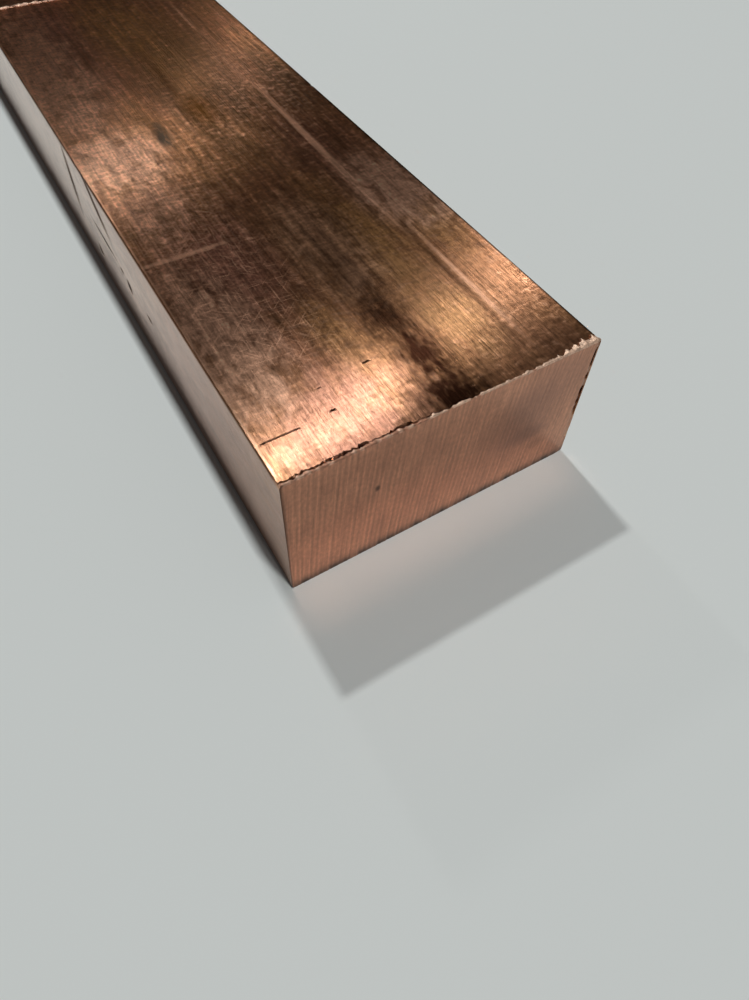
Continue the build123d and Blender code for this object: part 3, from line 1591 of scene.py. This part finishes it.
def face_marks(top: float, left: float, near: float) -> tuple[tuple[Mark, ...], ...]:
    """List the single marks on the top face, on the left wall and on the near cut.

    Args:
        top: The top face's height in millimetres.
        left: The left wall's place across the bar in millimetres.
        near: The near cut's place along the bar in millimetres.

    Returns:
        The marks on the top, those on the wall and those on the cut.
    """
    # Place along and across, half length, half width and strength, and then the turn of those that are turned
    on_top = {
        MarkKind.MAUVE: (
            (-55.0, -13.0, 46.0, 14.0, 0.8), (36.0, -15.0, 34.0, 14.0, 0.65), (14.0, 14.0, 26.0, 12.0, 0.4),
            (72.0, -14.0, 20.0, 18.0, 0.75),
        ),
        MarkKind.GOLDEN: (
            (38.0, 8.0, 32.0, 12.0, 0.95), (38.0, 20.0, 20.0, 7.0, 0.8), (62.0, 10.0, 16.0, 8.0, 0.9),
            (-38.0, 4.0, 46.0, 12.0, 0.9), (54.0, -7.0, 14.0, 5.0, 0.6), (-58.0, 0.0, 40.0, 14.0, 1.0),
            (38.0, 0.0, 24.0, 8.0, 0.7),
        ),
        MarkKind.BROWN: (
            (-24.0, 9.0, 44.0, 15.0, 0.7), (-20.0, -1.0, 30.0, 8.0, 0.75), (6.0, 14.0, 30.0, 14.0, 0.3),
            (62.0, 12.0, 26.0, 19.0, 0.72), (-16.0, 21.0, 28.0, 12.0, 1.0), (-14.0, 8.0, 22.0, 14.0, 0.95),
            (-3.0, 1.0, 18.0, 6.0, 0.6), (73.0, 17.0, 12.0, 16.0, 0.5),
        ),
        MarkKind.CLEAN: (
            (-1.0, -19.0, 17.0, 13.0, 1.0), (29.0, 20.0, 18.0, 11.0, 1.0), (-40.0, -20.0, 52.0, 12.0, 0.85),
            (50.0, -21.0, 24.0, 10.0, 0.85), (38.0, 2.0, 22.0, 9.0, 0.45), (14.0, -19.0, 18.0, 9.0, 0.5),
            (74.0, -14.0, 17.0, 20.0, 0.12),
        ),
        MarkKind.SCUFFED: (
            (38.0, -17.0, 46.0, 17.0, 0.7), (58.0, 14.0, 34.0, 20.0, 0.45),
        ),
        MarkKind.SCRATCHED: (
            (34.0, -15.0, 44.0, 18.0, 0.8), (-25.0, 12.5, 18.0, 11.0, 0.4, 20.0),
            (-45.0, -14.0, 60.0, 17.0, 0.4),
        ),
        MarkKind.LINED: (
            (64.0, 13.0, 32.0, 22.0, 0.65), (72.0, -13.0, 22.0, 22.0, 0.8),
        ),
        MarkKind.PALE: (
            (-70.6, -18.0, 0.6, 9.0, 0.45), (9.0, 14.9, 40.0, 1.3, 0.65), (-46.0, 14.9, 34.0, 0.7, 0.3),
            (52.0, 16.3, 26.0, 0.8, 0.3), (29.8, -18.5, 1.0, 13.0, 0.8), (1.3, 22.5, 0.4, 3.4, 0.2),
        ),
        MarkKind.DARK: (
            (54.0, 15.0, 26.0, 1.0, 0.6), (-11.0, 1.4, 12.0, 5.0, 0.5), (-28.0, -0.2, 30.0, 1.5, 0.28),
            (-41.0, -11.6, 22.0, 1.4, 0.26), (58.0, 1.6, 26.0, 7.0, 0.65),
            (46.0, 1.4, 14.0, 4.6, 0.45, -4.0), (58.0, 1.4, 15.0, 6.0, 0.9, 6.0),
            (66.0, 1.6, 15.0, 8.0, 1.0), (75.0, 1.2, 16.0, 11.0, 1.0),
        ),
        MarkKind.GREY: (
            (-4.6, -8.6, 6.4, 2.4, 1.0), (-8.2, -8.0, 5.0, 1.3, 0.8, 8.0),
        ),
    }
    # Place along and up, half length, half height and strength, and then the turn
    on_wall = {
        MarkKind.DARK: (
            (-13.0, 17.5, 2.4, 11.0, 0.75, 4.0), (5.0, 21.5, 9.0, 2.2, 0.75, 38.0),
            (2.5, 23.8, 5.0, 1.8, 0.75, 30.0), (4.0, 14.5, 10.0, 0.9, 0.8, 4.0),
            (15.6, 11.9, 1.6, 2.2, 1.0), (12.6, 13.4, 1.4, 1.0, 0.8), (25.5, 12.0, 2.0, 1.0, 0.7),
            (-4.0, 7.0, 2.4, 2.0, 0.9), (72.0, 12.0, 40.0, 26.0, 0.15),
        ),
        MarkKind.CLEAN: (
            (-30.0, 15.0, 84.0, 18.0, 1.0),
        ),
    }
    # Place across and up, half width, half height and strength
    on_cut = {
        MarkKind.MAUVE: (
            (13.0, 14.0, 11.0, 11.0, 0.4), (19.0, 20.0, 13.0, 9.0, 0.35), (15.0, 10.5, 7.0, 3.0, 0.35),
        ),
        MarkKind.DARK: (
            (18.0, 6.5, 3.0, 2.0, 0.2), (-11.5, 15.3, 0.6, 1.1, 0.8),
        ),
    }
    top_marks = tuple(
        Mark(kind, (x, y, top), (reach, across, MARK_DEPTH_MM), strength, (0.0, 0.0, sum(turn)))
        for kind, marks in on_top.items()
        for x, y, reach, across, strength, *turn in marks
    )
    wall_marks = tuple(
        Mark(kind, (x, left, z), (reach, MARK_DEPTH_MM, up), strength, (0.0, sum(turn), 0.0))
        for kind, marks in on_wall.items()
        for x, z, reach, up, strength, *turn in marks
    )
    cut_marks = tuple(
        Mark(kind, (near, y, z), (MARK_DEPTH_MM, across, up), strength)
        for kind, marks in on_cut.items()
        for y, z, across, up, strength in marks
    )
    return top_marks, wall_marks, cut_marks


def narrow_face_copper(start_mm: float, marks: tuple[Mark, ...]) -> DrawnCopper:
    """Describe the finish of the two narrow faces.

    They were handled less, so they are smoother, pinker and calmer than the wide ones, and mirror the floor.

    Args:
        start_mm: Where along the bar the places are counted from.
        marks: The single marks on the left wall.

    Returns:
        The finish.
    """
    return DrawnCopper(
        name="drawn_copper_narrow_face",
        start_mm=start_mm,
        marks=marks,
        brown="#D29B7B",
        golden="#DAAA83",
        thin="#F0C6AA",
        edge_tint="#FFFFFF",
        roughness=0.09,
        smudge_roughness=0.85,
        smudge_metallic=0.1,
        anisotropy=0.5,
        hair_tilt=0.6,
        fine_tilt=0.2,
        crinkle_tilt=0.03,
        shades=(
            (Skin.FINE, 0.9, 1.08), (Skin.STREAK, 0.86, 1.1), (Skin.MOTTLE, 0.88, 1.1),
            (Skin.CRINKLE, 0.94, 1.05), (Skin.GRAIN, 0.94, 1.05), (Skin.SCUFF, 0.95, 1.04),
        ),
        crest_painted_highlight=0.1,
    )


def main() -> None:
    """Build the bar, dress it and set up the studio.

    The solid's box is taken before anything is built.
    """
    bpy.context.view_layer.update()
    low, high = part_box(NODE)
    faces = {mount["name"]: mount["pos_m"] for mount in frame["record"]["mounts"]}
    mark_line = high.x - MARK_LINE_MM * MM
    bar_maker = SawnBar(
        length=high.x - low.x,
        width=high.y - low.y,
        thickness=faces["top_face"][2],
        mark_line=mark_line,
        torn_edge=TornEdge(tuple(Crumb(*sizes) for sizes in TORN_EDGE_MM)),
        gouges=tuple(Gouge(*sizes) for sizes in GOUGES_MM),
    )
    bar = bar_maker.build()
    top_marks, wall_marks, cut_marks = face_marks(
        bar_maker.thickness / MM, -bar_maker.width / 2 / MM, MARK_LINE_MM
    )
    start_mm = mark_line / MM
    bar_maker.dress(
        bar,
        DrawnCopper(start_mm=start_mm, marks=top_marks),
        narrow_face_copper(start_mm, wall_marks),
        SawnCopper(start_mm=start_mm, marks=cut_marks),
        TornCopper(start_mm=start_mm),
    )
    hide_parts(NODE)
    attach(bar, "root")
    log.info("%s: %d points, %d faces", bar.name, len(bar.data.vertices), len(bar.data.polygons))
    Studio(mark_line=mark_line).build()
    bpy.context.scene.view_settings.view_transform = "Standard"
    bpy.context.scene.cycles.blur_glossy = 0.0
    log.info("studio: floor, lamps, room and camera")


if __name__ == "__main__":
    logging.basicConfig(level=logging.INFO, format="%(name)s: %(message)s")
    main()
